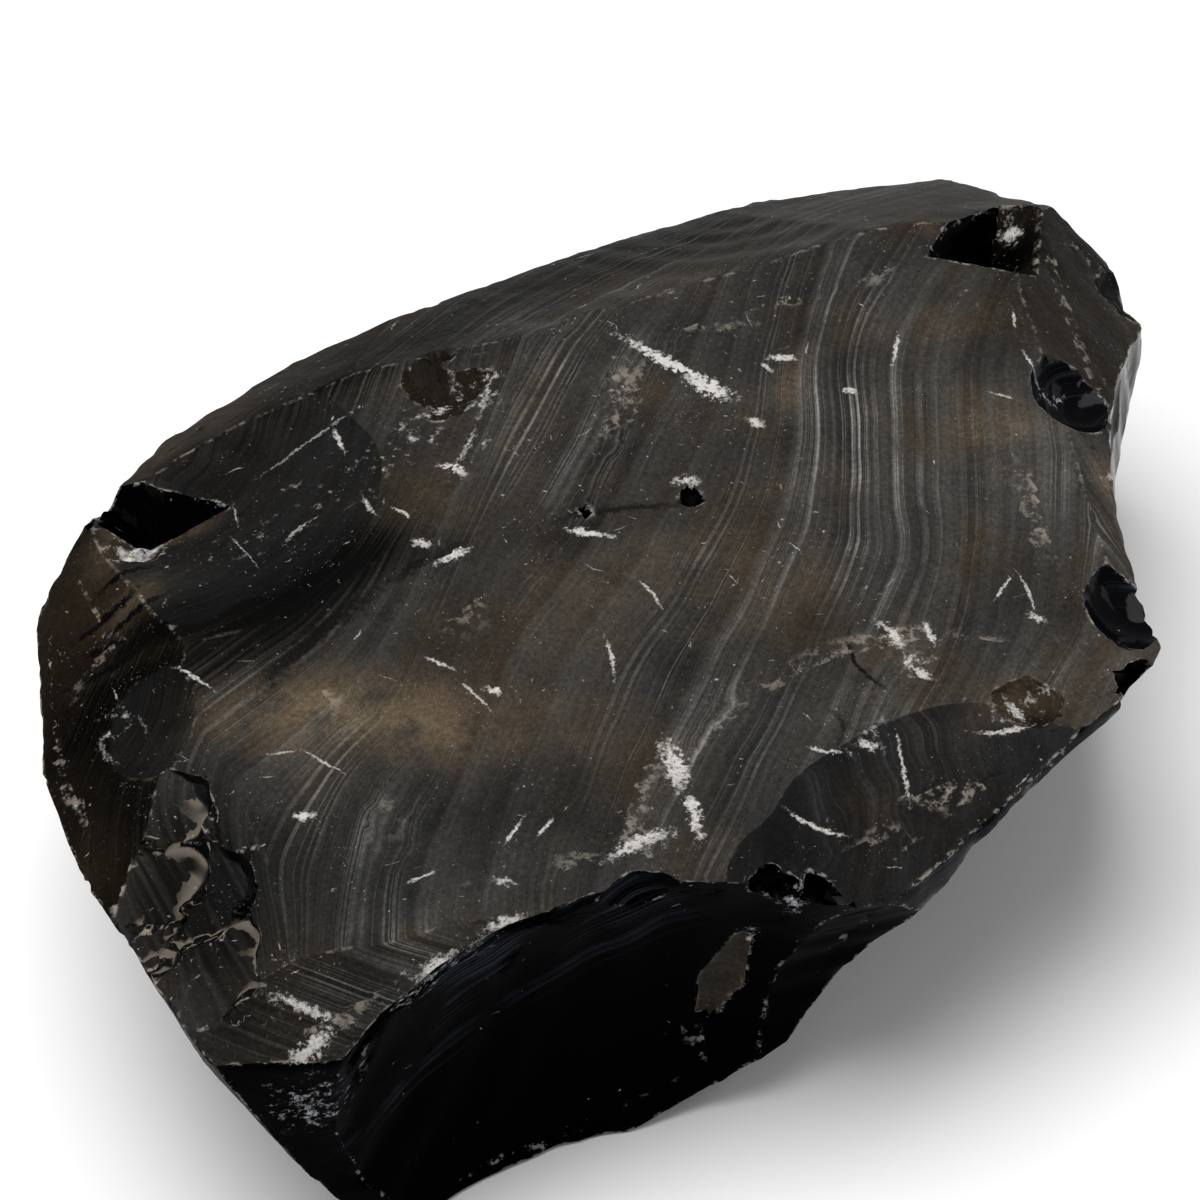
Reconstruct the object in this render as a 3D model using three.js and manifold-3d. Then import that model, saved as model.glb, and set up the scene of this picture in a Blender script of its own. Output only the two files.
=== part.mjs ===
// A rough chunk of obsidian, about 200 mm long: one solid piece of black volcanic glass.
//
// Obsidian breaks in smooth, dished flake scars that meet in sharp edges. The chunk is made the
// way it was broken: a block is cut once for each scar. A flat scar takes away everything beyond
// a plane, and a dished scar takes away a ball, as a conchoidal fracture does.
//
// Units are millimetres, +Z is up and the piece stands on its flat base at z = 0. +X runs along
// its length, and -Y is the side with the long black scar.

import * as THREE from "three";
import { mergeVertices } from "three/addons/utils/BufferGeometryUtils.js";
import Module from "manifold-3d";

// Driving dimensions. The scars are placed from a datum under the broad upper face, and the
// finished piece is moved by -MIDDLE so that its box stands centred on the origin.
const SCALE = 1;                    // 1 gives a piece about 200 mm long
const MIDDLE = [5.77, -6.3, 0];     // middle of the piece's box, from the datum
const BLOCK = 320;                  // side of the block that the piece is broken from
const FACET = 4.5;                  // longest step along a dished scar's mesh

// Each scar: its name, a point on it, the way it faces (bearing from +X towards +Y, and lift
// above the horizontal, in degrees), and the radius of its dish (0 for a flat scar).
const SCARS = [
  // the broad upper face and the scars that step down from it
  ["upper_face", [18, -18, 57], -88, 84, 0],
  ["grey_scar", [-42, 24, 55.4], 122, 80, 110],
  ["crease_scar", [-42, 12, 58.2], 105, 82.5, 260],
  ["left_shoulder", [-76, 13, 52.8], 163, 62, 0],
  ["left_scar", [-77.5, -2, 53.6], 172, 72, 34],
  ["stepped_corner", [-84, -30, 53.2], -165, 76, 0],
  ["low_corner", [-79, -53, 52.3], -118, 64, 0],
  ["front_strip", [-60, -55, 53.1], -104, 46, 0],
  ["lower_right_scar", [12, -93, 43.5], -88, 84, 150],
  ["right_shoulder", [66, -42, 52], -30, 58, 0],
  // bevels along the back of the upper face
  ["bevel_left", [-30, 50, 54], 104, 62, 0],
  ["bevel_middle", [0, 49, 57], 92, 68, 0],
  ["bevel_right", [34, 46, 57.5], 84, 68, 0],
  ["bevel_end", [76, 40, 56.5], 70, 64, 0],
  ["notch_rim", [90, 31, 57], 52, 66, 0],
  // the back
  ["back_corner", [-58, 46, 46], 127, 8, 0],
  ["back_left", [-14, 62.5, 46], 102, 10, 0],
  ["back_middle", [30, 59, 46], 88, 8, 0],
  ["back_right", [84, 51.5, 46], 70, 12, 0],
  // the right end
  ["end_back", [98.5, 32, 46], 22, 4, 0],
  ["end_bump", [103.5, 14, 42], -12, 2, 0],
  ["end_undercut", [101, 2, 42], -30, -28, 0],
  ["end_dish", [86, -10, 44], -40, 6, 30],
  ["end_hollow", [70, -33, 44], -27, 4, 100],
  ["end_front", [55, -56, 43], -62, -32, 0],
  // the long front, with its black scar
  ["front_bevel", [24, -71, 49], -77, 10, 0],
  ["front_undercut", [24, -69, 44], -63, -38, 140],
  ["front_facet", [-6, -67, 30], -100, -12, 45],
  ["black_scar", [-41.5, -54.1, 25.9], -96, 1, 70],
  ["front_corner", [-70, -61, 20], -112, -6, 0],
  ["under_front", [-18, -63, 5], -72, -48, 0],
  // the left end
  ["left_chip", [-85, -58, 28], -138, -20, 0],
  ["left_front", [-85, -53, 28], -168, -20, 0],
  ["left_rim", [-92, -42, 47], -178, -14, 0],
  ["left_undercut", [-70, -25, 16], 180, -10, 48],
  ["left_middle", [-90, -8, 46], 172, -30, 0],
  ["left_back", [-80, 18, 44], 156, -28, 0],
  ["left_corner", [-69, 38, 43], 132, -8, 0],
  // the underside: a flat base to stand on, and the scars around it
  ["base", [0, 0, 0], 0, -90, 0],
  ["under_back", [20, 60, 16], 92, -38, 0],
  ["under_back_right", [76, 44, 12], 52, -48, 0],
  ["under_right", [84, -2, 10], -14, -52, 0],
  ["under_back_left", [-50, 36, 10], 138, -46, 0],
];

// Each small flake: its name, the middle of a ball, the ball's radius, and planes, each a point
// and the way it faces. The flake is what lies inside the ball and beyond all of its planes.
const FLAKES = [
  ["notch", [85, 21, 60], 18, [
    [[86, 24.7, 50.5], -60, 26],
    [[86, 24.7, 50.5], -103, 54],
    [[86, 24.7, 50.5], 138, 48],
    [[86, 24.7, 50.5], 43, 49],
  ]],
  ["end_bite", [104, 9, 53], 7.5, []],
  ["left_pocket", [-52, 35.5, 54], 8.5, [[[-44, 31.9, 54.5], -148, 53], [[-44, 31.9, 54.5], 99, 40]]],
  ["left_groove", [-60.5, 31, 56], 4.2, []],
  ["step_upper", [-81.5, -19, 57], 8.5, [[[-75.5, -13, 55.8], -99, 75]]],
  ["step_middle", [-82, -31.5, 56], 9, [[[-75.6, -25.1, 54.9], -99, 75]]],
  ["step_lower", [-85, -43.5, 54], 8.5, [[[-79, -37.5, 53.3], -99, 75]]],
  ["step_inner", [-84.5, -28, 54], 7, [[[-79.5, -23, 52.6], -99, 75]]],
  ["step_left", [-91, -31, 52], 7, [[[-86, -26, 52.4], -99, 75]]],
  ["ridge_scallop", [-9, 35, 68.6], 11.5, []],
  ["pit_right", [13.2, -4, 58.9], 2.2, []],
  ["pit_left", [-2, 0.8, 59.6], 1.6, []],
  ["rim_bite", [-31, -66, 50], 8, []],
  ["front_nick", [-12.5, -70.5, 50], 5, []],
  ["front_nick_low", [-6.5, -72, 51.5], 4.5, []],
  ["edge_dish", [78, -13, 61], 9.5, []],
  ["edge_dish_low", [75.5, -23.5, 59.5], 6, []],
  ["blue_scallop", [60, -52, 59], 10, []],
  ["corner_chip", [53, -63, 51], 4, []],
  ["crushed_right", [36, -60, 60], 9.5, []],
  ["lens_chip", [-16.1, -63, 26.4], 8.2, [
    [[-14.9, -60.9, 26.4], -91, 0],
    [[-14.9, -60.9, 26.4], -95, -13],
    [[-14.9, -60.9, 26.4], -141, 13],
    [[-14.9, -60.9, 26.4], -145, 0],
  ]],
];

const wasm = await Module();
wasm.setup();

/** The unit vector that a bearing and a lift give. */
function facing(bearing, lift) {
  const b = THREE.MathUtils.degToRad(bearing);
  const l = THREE.MathUtils.degToRad(lift);
  return new THREE.Vector3(Math.cos(b) * Math.cos(l), Math.sin(b) * Math.cos(l), Math.sin(l));
}

/** A closed three.js geometry as a solid that can be cut. */
function solidOf(geometry) {
  const bare = geometry.clone();
  bare.deleteAttribute("normal");
  bare.deleteAttribute("uv");
  const merged = mergeVertices(bare, 1e-5);
  return new wasm.Manifold(new wasm.Mesh({
    numProp: 3,
    vertProperties: new Float32Array(merged.attributes.position.array),
    triVerts: new Uint32Array(merged.index.array),
  }));
}

/** A solid as a flat-shaded three.js geometry. */
function geometryOf(solid) {
  const mesh = solid.getMesh();
  const geometry = new THREE.BufferGeometry();
  geometry.setAttribute("position", new THREE.BufferAttribute(mesh.vertProperties, 3));
  geometry.setIndex(new THREE.BufferAttribute(mesh.triVerts, 1));
  geometry.computeVertexNormals();
  return geometry;
}

/** A block that fills everything beyond a plane. */
function beyondPlane(point, bearing, lift) {
  const out = facing(bearing, lift);
  const centre = new THREE.Vector3(...point).addScaledVector(out, BLOCK / 2);
  const turn = new THREE.Quaternion().setFromUnitVectors(new THREE.Vector3(1, 0, 0), out);
  const shape = new THREE.BoxGeometry(BLOCK, 2 * BLOCK, 2 * BLOCK);
  shape.applyMatrix4(new THREE.Matrix4().compose(centre, turn, new THREE.Vector3(1, 1, 1)));
  return solidOf(shape);
}

/** A ball whose poles lie along X, with facets no longer than FACET. */
function ball(centre, radius, out) {
  const steps = Math.ceil((2 * Math.PI * radius) / FACET / 8 + 2) * 8;
  const turn = new THREE.Quaternion().setFromUnitVectors(new THREE.Vector3(1, 0, 0), out);
  const shape = new THREE.SphereGeometry(radius, steps, steps / 2);
  shape.applyMatrix4(new THREE.Matrix4().compose(centre, turn, new THREE.Vector3(1, 1, 1)));
  return solidOf(shape);
}

/** What one scar takes away: everything beyond its plane, or a ball. */
function scarCutter([, point, bearing, lift, dish]) {
  if (dish === 0) {
    return beyondPlane(point, bearing, lift);
  }
  const out = facing(bearing, lift);
  return ball(new THREE.Vector3(...point).addScaledVector(out, dish), dish, out);
}

/** What one small flake takes away: the part of a ball beyond its planes. */
function flakeCutter([, centre, radius, planes]) {
  let cutter = ball(new THREE.Vector3(...centre), radius, new THREE.Vector3(1, 0, 0));
  for (const [point, bearing, lift] of planes) {
    cutter = cutter.intersect(beyondPlane(point, bearing, lift));
  }
  return cutter;
}

/** The chunk: a block cut by every scar and flake in turn. */
function chunkGeometry() {
  let body = solidOf(new THREE.BoxGeometry(BLOCK, BLOCK, BLOCK));
  for (const scar of SCARS) {
    body = body.subtract(scarCutter(scar));
  }
  for (const flake of FLAKES) {
    body = body.subtract(flakeCutter(flake));
  }
  const geometry = geometryOf(body);
  geometry.translate(-MIDDLE[0], -MIDDLE[1], -MIDDLE[2]);
  geometry.scale(SCALE, SCALE, SCALE);
  return geometry;
}

const obsidian = new THREE.MeshStandardMaterial({
  color: 0x2b2825,
  roughness: 0.35,
  metalness: 0,
  flatShading: true,
});

const chunk = new THREE.Mesh(chunkGeometry(), obsidian);
chunk.name = "obsidian_chunk";

const part = new THREE.Group();
part.add(chunk);

export default part;
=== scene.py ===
# %% [markdown]
# # A rough chunk of obsidian
# Obsidian is volcanic glass. It has no grain, so it breaks in smooth dished scars that meet in
# edges as sharp as a blade. This chunk lies on its flat base. Its broad upper face has weathered
# to a brown grey, with the swirled bands that the lava left as it flowed, and its long front is
# one fresh scar, black and glossy.
#
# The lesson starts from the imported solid, the frame, which fixes where the piece is and how
# large. Lengths are in millimetres until a mesh is made, because that is how a stone is measured.

import bpy
import numpy as np
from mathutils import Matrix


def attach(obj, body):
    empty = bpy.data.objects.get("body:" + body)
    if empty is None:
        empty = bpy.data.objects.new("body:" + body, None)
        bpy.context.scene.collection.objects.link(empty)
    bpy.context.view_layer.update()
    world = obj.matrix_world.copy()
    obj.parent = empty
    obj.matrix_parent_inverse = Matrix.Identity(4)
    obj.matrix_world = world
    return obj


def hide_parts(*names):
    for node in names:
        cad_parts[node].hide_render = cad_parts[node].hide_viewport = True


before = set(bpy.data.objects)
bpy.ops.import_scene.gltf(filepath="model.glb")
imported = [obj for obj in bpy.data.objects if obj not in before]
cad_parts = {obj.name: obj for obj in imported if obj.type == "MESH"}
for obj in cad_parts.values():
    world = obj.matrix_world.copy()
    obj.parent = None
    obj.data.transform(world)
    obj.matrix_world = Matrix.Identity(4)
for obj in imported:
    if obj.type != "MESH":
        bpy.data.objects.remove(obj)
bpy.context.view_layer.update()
MM = 0.001                              # one millimetre in Blender's metres

# %% [markdown]
# ## The scars
# A sculptor could push this shape out of a ball of clay, but the stone's own history is simpler:
# a block was struck again and again, and every blow took away what lay beyond one scar. A flat
# scar is a plane and a dished one is a ball, so each is a line in a table: a point on it, the way
# it faces (bearing from +X towards +Y, then lift above level, in degrees), the radius of its dish
# (0 for a flat scar) and its finish. The stone is what all of them leave.

# %% The table of scars
MIDDLE = np.array([5.77, -6.3, 0])      # middle of the stone's box, from the datum of the table

SCARS = [
    # the broad upper face and the scars that step down from it
    ("upper_face", (18, -18, 57), -88, 84, 0, "weathered"),
    ("grey_scar", (-42, 24, 55.4), 122, 80, 110, "shaded_slate"),
    ("crease_scar", (-42, 12, 58.2), 105, 82.5, 260, "weathered"),
    ("left_shoulder", (-76, 13, 52.8), 163, 62, 0, "brown"),
    ("left_scar", (-77.5, -2, 53.6), 172, 72, 34, "shaded_slate"),
    ("stepped_corner", (-84, -30, 53.2), -165, 76, 0, "weathered"),
    ("low_corner", (-79, -53, 52.3), -118, 64, 0, "weathered"),
    ("front_strip", (-60, -55, 53.1), -104, 46, 0, "weathered"),
    ("lower_right_scar", (12, -93, 43.5), -88, 84, 150, "shaded_slate"),
    ("right_shoulder", (66, -42, 52), -30, 58, 0, "weathered"),
    # bevels along the back of the upper face
    ("bevel_left", (-30, 50, 54), 104, 62, 0, "brown"),
    ("bevel_middle", (0, 49, 57), 92, 68, 0, "weathered"),
    ("bevel_right", (34, 46, 57.5), 84, 68, 0, "weathered"),
    ("bevel_end", (76, 40, 56.5), 70, 64, 0, "weathered"),
    ("notch_rim", (90, 31, 57), 52, 66, 0, "weathered"),
    # the back
    ("back_corner", (-58, 46, 46), 127, 8, 0, "brown"),
    ("back_left", (-14, 62.5, 46), 102, 10, 0, "fresh"),
    ("back_middle", (30, 59, 46), 88, 8, 0, "fresh"),
    ("back_right", (84, 51.5, 46), 70, 12, 0, "weathered"),
    # the right end
    ("end_back", (98.5, 32, 46), 22, 4, 0, "jet"),
    ("end_bump", (103.5, 14, 42), -12, 2, 0, "jet"),
    ("end_undercut", (101, 2, 42), -30, -28, 0, "jet"),
    ("end_dish", (86, -10, 44), -40, 6, 30, "jet"),
    ("end_hollow", (70, -33, 44), -27, 4, 100, "fresh"),
    ("end_front", (55, -56, 43), -62, -32, 0, "fresh"),
    # the long front, with its black scar
    ("front_bevel", (24, -71, 49), -77, 10, 0, "fresh"),
    ("front_undercut", (24, -69, 44), -63, -38, 140, "fresh"),
    ("front_facet", (-6, -67, 30), -100, -12, 45, "jet"),
    ("black_scar", (-41.5, -54.1, 25.9), -96, 1, 70, "jet"),
    ("front_corner", (-70, -61, 20), -112, -6, 0, "jet"),
    ("under_front", (-18, -63, 5), -72, -48, 0, "jet"),
    # the left end
    ("left_chip", (-85, -58, 28), -138, -20, 0, "jet"),
    ("left_front", (-85, -53, 28), -168, -20, 0, "brown"),
    ("left_rim", (-92, -42, 47), -178, -14, 0, "brown"),
    ("left_undercut", (-70, -25, 16), 180, -10, 48, "fresh"),
    ("left_middle", (-90, -8, 46), 172, -30, 0, "brown"),
    ("left_back", (-80, 18, 44), 156, -28, 0, "brown"),
    ("left_corner", (-69, 38, 43), 132, -8, 0, "brown"),
    # the underside: a flat base to stand on, and the scars around it
    ("base", (0, 0, 0), 0, -90, 0, "weathered"),
    ("under_back", (20, 60, 16), 92, -38, 0, "fresh"),
    ("under_back_right", (76, 44, 12), 52, -48, 0, "weathered"),
    ("under_right", (84, -2, 10), -14, -52, 0, "fresh"),
    ("under_back_left", (-50, 36, 10), 138, -46, 0, "weathered"),
]
NAMES = [scar[0] for scar in SCARS]
print(len(SCARS), "scars")

# %% [markdown]
# ## Where a scar stops a ray
# To turn the table into a surface, lay a small level plate in the heart of the stone and look
# out from it. Each ray starts at the point of the plate nearest to where it is going, so rays
# leave straight up over the plate, fan out around its rim, and never cross. The scar that a ray
# meets first is the one that shows there. For a plane and a ball the distance has a formula, so
# thousands of rays are measured at once, with no search.

# %% How far a ray goes to a scar
PLATE_LOW = np.array([-46.0, -20.0, 22.0])
PLATE_HIGH = np.array([64.0, 18.0, 22.0])


def leave(targets):
    """Start and direction of the rays: from the nearest point of the plate to the targets."""
    start = np.clip(targets, PLATE_LOW, PLATE_HIGH)
    way = targets - start
    return start, way / np.linalg.norm(way, axis=1)[:, None]


def facing(bearing, lift):
    """The unit vector of a compass bearing and a lift above level."""
    b, l = np.radians(bearing), np.radians(lift)
    return np.array([np.cos(b) * np.cos(l), np.sin(b) * np.cos(l), np.sin(l)])


def reach_plane(point, out, start, way):
    """Length of each ray to a plane: the plane's distance over the ray's slant towards it."""
    slant = way @ out
    gap = (np.asarray(point, float) - start) @ out
    return np.where(slant > 1e-6, gap / np.maximum(slant, 1e-6), np.inf), slant


def reach_ball(centre, radius, start, way):
    """Length of each ray to the near side of a ball: the smaller root of the quadratic. A ray
    that misses the ball meets a steep flare around it, so that the surface never jumps."""
    to_centre = np.asarray(centre, float) - start
    along = (way * to_centre).sum(1)
    aside = np.sqrt(np.maximum((to_centre ** 2).sum(1) - along ** 2, 0))
    inside = np.sqrt(np.maximum(radius ** 2 - aside ** 2, 0))
    length = along - inside + 3 * np.maximum(aside - radius, 0)
    ahead = (along > 0) & (length > 0)
    return np.where(ahead, length, np.inf), np.maximum(inside / radius, 0.3)


def reach_bare(scar, start, way):
    """Length of each ray to one scar before any relief, and how squarely it meets the scar."""
    _, point, bearing, lift, dish, _ = scar
    out = facing(bearing, lift)
    if dish == 0:
        return reach_plane(point, out, start, way)
    return reach_ball(np.asarray(point, float) + out * dish, dish, start, way)


print("upper face over the middle:",
      reach_bare(SCARS[0], *leave(np.array([[0.0, 0.0, 60.0]])))[0], "mm from the plate")

# %% [markdown]
# ## Relief on the scars
# A real scar is never quite flat. It swells gently, and where the blow was hard it carries
# ripples in rings around the struck point. Both are added to a scar before the scars are
# compared, so the edges between scars wander as real ones do.

# %% Soft noise and ripples


def lattice(i, j, k, seed):
    """A fixed random number for each lattice point: its numbers are mixed, folded and scaled."""
    mixed = (i * 374761393 + j * 668265263 + k * 1442695041 + seed * 974634777) & 0xFFFFFFFF
    mixed = ((mixed ^ (mixed >> 13)) * 1274126177) & 0xFFFFFFFF
    return ((mixed ^ (mixed >> 16)) & 0xFFFF) / 32767.5 - 1


def cloud(points, size, seed):
    """Soft noise from -1 to 1: random numbers on a lattice, blended by smooth weights."""
    scaled = points / size
    cell = np.floor(scaled).astype(np.int64)
    f = scaled - cell
    f = f * f * f * (f * (f * 6 - 15) + 10)
    total = 0
    for corner in range(8):
        di, dj, dk = corner & 1, corner >> 1 & 1, corner >> 2
        weight = (np.where(di, f[:, 0], 1 - f[:, 0]) * np.where(dj, f[:, 1], 1 - f[:, 1])
                  * np.where(dk, f[:, 2], 1 - f[:, 2]))
        total = total + weight * lattice(cell[:, 0] + di, cell[:, 1] + dj, cell[:, 2] + dk, seed)
    return total


# Ripples: scar, the struck point, the distance between rings and their height, in mm.
RIPPLES = {
    "grey_scar": ((-80, 30, 52), 8, 0.16),
    "lower_right_scar": ((14, -80, 48), 7, 0.14),
    "black_scar": ((-86, -60, 40), 11, 0.30),
    "front_facet": ((-6, -74, 50), 6, 0.22),
    "front_undercut": ((40, -64, 44), 9, 0.30),
    "end_hollow": ((60, -54, 44), 6, 0.20),
    "left_undercut": ((-92, -30, 47), 8, 0.25),
    "back_middle": ((20, 60, 50), 10, 0.30),
    "back_left": ((-30, 60, 48), 9, 0.25),
    "under_back": ((40, 60, 20), 11, 0.35),
    "end_undercut": ((96, 6, 44), 8, 0.25),
    "bevel_right": ((60, 60, 50), 7, 0.12),
}


def relief(index, points):
    """Height of a scar's own relief: two sizes of swelling, and a sine of the distance from
    the struck point where it has ripples. The base is only hollowed, so that nothing stands out
    below it."""
    name = NAMES[index]
    swell = 0.40 * cloud(points, 26, index) + 0.16 * cloud(points, 9, index + 50)
    if name == "base":
        return -0.8 * np.abs(cloud(points, 19, index)) - 0.25 * np.abs(cloud(points, 6, index))
    if name in RIPPLES:
        struck, wave, height = RIPPLES[name]
        away = np.linalg.norm(points - np.array(struck), axis=1)
        ring = np.sin(2 * np.pi * away / wave + 1.6 * cloud(points, 18, index + 90))
        swell = swell + height * ring * (0.6 + 0.4 * cloud(points, 14, index + 120))
    return swell


def reach(index, start, way, limit=np.inf):
    """Length of each ray to a scar with its relief, worked out only where it may show."""
    length, slant = reach_bare(SCARS[index], start, way)
    near = np.isfinite(length) & (length < limit)
    points = start[near] + way[near] * length[near][:, None]
    length[near] += relief(index, points) / np.maximum(slant[near], 0.2)
    return length


print("relief at the datum:", relief(0, np.array([[0.0, 0.0, 57.0]])))

# %% [markdown]
# ## Step fractures and small scoops
# Where a flake broke off short it left a step: a curved riser and a floor beyond it. A flake is
# the glass that lies inside a ball and on the outer side of some planes, so a ray stops at
# whichever of them it meets last. A pit has no planes and is a whole small ball, and a notch with
# clean walls has four planes through one deep point. The balls are made ragged by noise, because
# glass tears as it breaks.

# %% The table of flakes
# Each: name, centre of the ball, its radius, how ragged it is, and its planes, each a point
# and the way it faces, like a flat scar.
FLAKES = [
    ("notch", (85, 21, 60), 18.0, 0.0,
     [((86, 24.7, 50.5), -60, 26), ((86, 24.7, 50.5), -103, 54),
      ((86, 24.7, 50.5), 138, 48), ((86, 24.7, 50.5), 43, 49)]),
    ("end_bite", (104, 9, 53), 7.5, 0.10, []),
    ("left_pocket", (-52, 35.5, 54), 8.5, 0.08,
     [((-44, 31.9, 54.5), -148, 53), ((-44, 31.9, 54.5), 99, 40)]),
    ("left_groove", (-60.5, 31, 56), 4.2, 0.15, []),
    ("step_upper", (-81.5, -19, 57), 8.5, 0.20, [((-75.5, -13, 55.8), -99, 75)]),
    ("step_middle", (-82, -31.5, 56), 9.0, 0.20, [((-75.6, -25.1, 54.9), -99, 75)]),
    ("step_lower", (-85, -43.5, 54), 8.5, 0.20, [((-79, -37.5, 53.3), -99, 75)]),
    ("step_inner", (-84.5, -28, 54), 7.0, 0.22, [((-79.5, -23, 52.6), -99, 75)]),
    ("step_left", (-91, -31, 52), 7.0, 0.20, [((-86, -26, 52.4), -99, 75)]),
    ("ridge_scallop", (-9, 35, 68.6), 11.5, 0.14, []),
    ("pit_right", (13.2, -4, 58.9), 2.2, 0.15, []),
    ("pit_left", (-2, 0.8, 59.6), 1.6, 0.15, []),
    ("rim_bite", (-31, -66, 50), 8.0, 0.08, []),
    ("front_nick", (-12.5, -70.5, 50), 5.0, 0.15, []),
    ("front_nick_low", (-6.5, -72, 51.5), 4.5, 0.15, []),
    ("edge_dish", (78, -13, 61), 9.5, 0.04, []),
    ("edge_dish_low", (75.5, -23.5, 59.5), 6.0, 0.04, []),
    ("blue_scallop", (60, -52, 59), 10.0, 0.06, []),
    ("corner_chip", (53, -63, 51), 4.0, 0.15, []),
    ("crushed_right", (36, -60, 60), 9.5, 0.08, []),
    ("lens_chip", (-16.1, -63, 26.4), 8.2, 0.04,
     [((-14.9, -60.9, 26.4), -91, 0), ((-14.9, -60.9, 26.4), -95, -13),
      ((-14.9, -60.9, 26.4), -141, 13), ((-14.9, -60.9, 26.4), -145, 0)]),
]


def flake_parts(index, start, way):
    """Length of each ray to a flake's ragged ball, and to the furthest of its planes."""
    _, centre, radius, ragged, planes = FLAKES[index]
    riser, _ = reach_ball(centre, radius, start, way)
    points = start + way * np.minimum(riser, 200)[:, None]
    torn = radius * (1 + ragged * (cloud(points, 0.35 * radius, 300 + index) - 0.4))
    riser, _ = reach_ball(centre, torn, start, way)
    floor = np.full(len(start), -np.inf)
    for point, bearing, lift in planes:
        floor = np.maximum(floor, reach_plane(point, facing(bearing, lift), start, way)[0])
    return riser, floor


def reach_flake(index, start, way):
    """Length of each ray to a flake: the furthest of its ball and its planes."""
    return np.maximum(*flake_parts(index, start, way))


COUNT = len(SCARS) + len(FLAKES)
print(len(FLAKES), "flakes")

# %% The whole surface along a set of rays


def reach_any(index, start, way, limit=np.inf):
    """Length of each ray to a scar or, past the end of the scars, to a flake."""
    if index < len(SCARS):
        return reach(index, start, way, limit)
    return reach_flake(index - len(SCARS), start, way)


def surface(targets):
    """For each ray: the shortest length and its scar, and the next shortest and its scar."""
    start, way = leave(targets)
    bare = np.min([reach_bare(scar, start, way)[0] for scar in SCARS], axis=0)
    lengths = np.stack([reach_any(index, start, way, bare + 4) for index in range(COUNT)])
    order = np.argpartition(lengths, 1, axis=0)[:2]
    pair = np.take_along_axis(lengths, order, axis=0)
    swap = pair[0] > pair[1]
    first = np.where(swap, order[1], order[0])
    second = np.where(swap, order[0], order[1])
    return pair.min(0), first, pair.max(0), second


def reach_chosen(chosen, targets):
    """Length of each ray to a scar picked for that ray."""
    start, way = leave(targets)
    lengths = np.empty(len(targets))
    for index in np.unique(chosen):
        mine = chosen == index
        lengths[mine] = reach_any(index, start[mine], way[mine])
    return lengths


print("the ray over the middle meets", NAMES[surface(np.array([[20.0, -20.0, 60.0]]))[1][0]])

# %% [markdown]
# ## A cage of rays
# The rays come from a box drawn loosely around the stone, with an even grid on each of its six
# sides. Every grid point gives one ray and so one vertex, and neighbours on the grid are
# neighbours on the stone. The six grids also make the piece's map for baking: each side keeps
# its own rectangle, so nothing overlaps.

# %% The six grids
CELL = 0.98                             # mm between rays on the cage
CAGE_LOW = np.array([-94.0, -76.0, 1.0])
CAGE_HIGH = np.array([104.0, 66.0, 58.0])
MAP_MARGIN = 0.985                      # how much of its rectangle a side fills on the map


def cage_side(axis, high):
    """One side of the cage: a grid of points, its quads, and where each point lies on it."""
    u, v = [(1, 2), (2, 0), (0, 1)][axis]
    steps = [int(round((CAGE_HIGH[k] - CAGE_LOW[k]) / CELL)) for k in (u, v)]
    across, along = np.meshgrid(np.linspace(0, 1, steps[0] + 1), np.linspace(0, 1, steps[1] + 1),
                                indexing="ij")
    points = np.empty(across.shape + (3,))
    points[..., axis] = (CAGE_HIGH if high else CAGE_LOW)[axis]
    points[..., u] = CAGE_LOW[u] + across * (CAGE_HIGH - CAGE_LOW)[u]
    points[..., v] = CAGE_LOW[v] + along * (CAGE_HIGH - CAGE_LOW)[v]
    number = np.arange(across.size).reshape(across.shape)
    quads = np.stack([number[:-1, :-1], number[1:, :-1], number[1:, 1:], number[:-1, 1:]], -1)
    quads = quads.reshape(-1, 4)
    place = np.stack([across, along], -1).reshape(-1, 2)
    edge = (np.abs(place - 0.5) > 0.5 - 1e-9).any(1)
    slide = np.zeros((across.size, 2, 3))
    slide[:, 0, u] = 1
    slide[:, 1, v] = 1
    return points.reshape(-1, 3), quads if high else quads[:, ::-1], place, edge, slide


def chart(axis, high, place):
    """Where a side lies on the baking map: its own rectangle, all to one scale."""
    length, depth, height = CAGE_HIGH - CAGE_LOW
    whole = 2 * depth + height * 1.02
    corners = {(2, True): (0, 0), (2, False): (0, depth), (1, True): (0, 2 * depth),
               (1, False): (length, 0), (0, True): (length + height, 0),
               (0, False): (length + height, depth)}
    size = {2: (length, depth), 1: (height, length), 0: (height, depth)}[axis]
    flat = place if axis == 2 else place[:, ::-1] if axis == 0 else place
    if (axis, high) == (1, True):
        flat, size = place[:, ::-1], (length, height)
    return (np.array(corners[axis, high]) + (0.5 + (flat - 0.5) * MAP_MARGIN) * size) / whole


sides = [(axis, high) for axis in (2, 1, 0) for high in (True, False)]
parts = [cage_side(axis, high) for axis, high in sides]
starts = np.cumsum([0] + [len(part[0]) for part in parts])
loose = np.concatenate([part[0] for part in parts])
loose_quads = np.concatenate([part[1] + start for part, start in zip(parts, starts)])
loose_map = np.concatenate([chart(*side, part[2]) for side, part in zip(sides, parts)])
keys = np.round(loose / (CELL * 0.01)).astype(np.int64)
_, chosen, welded = np.unique(keys, axis=0, return_index=True, return_inverse=True)
welded = welded.reshape(-1)
targets = loose[chosen]
fixed = np.zeros(len(targets), bool)
np.logical_or.at(fixed, welded, np.concatenate([part[3] for part in parts]))
slides = np.concatenate([part[4] for part in parts])[chosen]
quads = welded[loose_quads]
print(len(targets), "rays and", len(quads), "quads")

# %% [markdown]
# ## Sharp edges
# A grid laid over a sharp edge saws it into teeth. So every ray within half a cell of an edge is
# slid along the cage until both scars are equally far along it: one Newton step on the gap
# between them. The edge then runs through the vertices and stays a clean line.

# %% Sliding the rays onto the edges


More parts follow.
